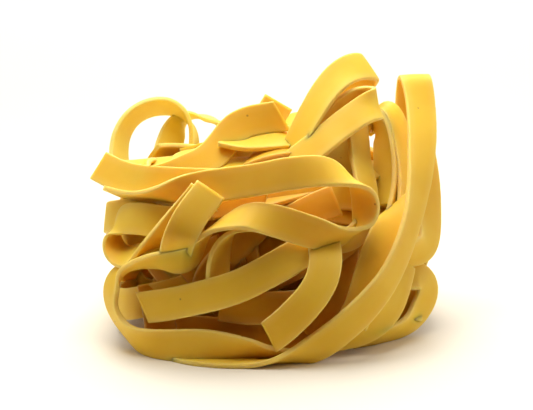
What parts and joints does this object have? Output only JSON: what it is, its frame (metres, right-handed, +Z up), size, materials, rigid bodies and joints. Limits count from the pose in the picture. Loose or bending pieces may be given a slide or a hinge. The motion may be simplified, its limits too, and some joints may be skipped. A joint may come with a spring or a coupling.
{
  "type": "dry pasta nest",
  "caption": "A tangled nest of flat dry egg ribbon pasta, wound into a bundle with tall free loops at one side and a round loop behind, resting on its own flattened underside.",
  "frame": {"origin": "under the middle of the nest, on the surface that it rests on", "axes": "+X across the nest to the right as seen from its front, +Y from front to back, +Z up"},
  "size_m": [0.0699, 0.0672, 0.0534],
  "materials": {
    "egg_pasta": "matte, slightly translucent"
  },
  "bodies": {
    "root": {"pasta_nest": "egg_pasta"}
  },
  "joints": []
}
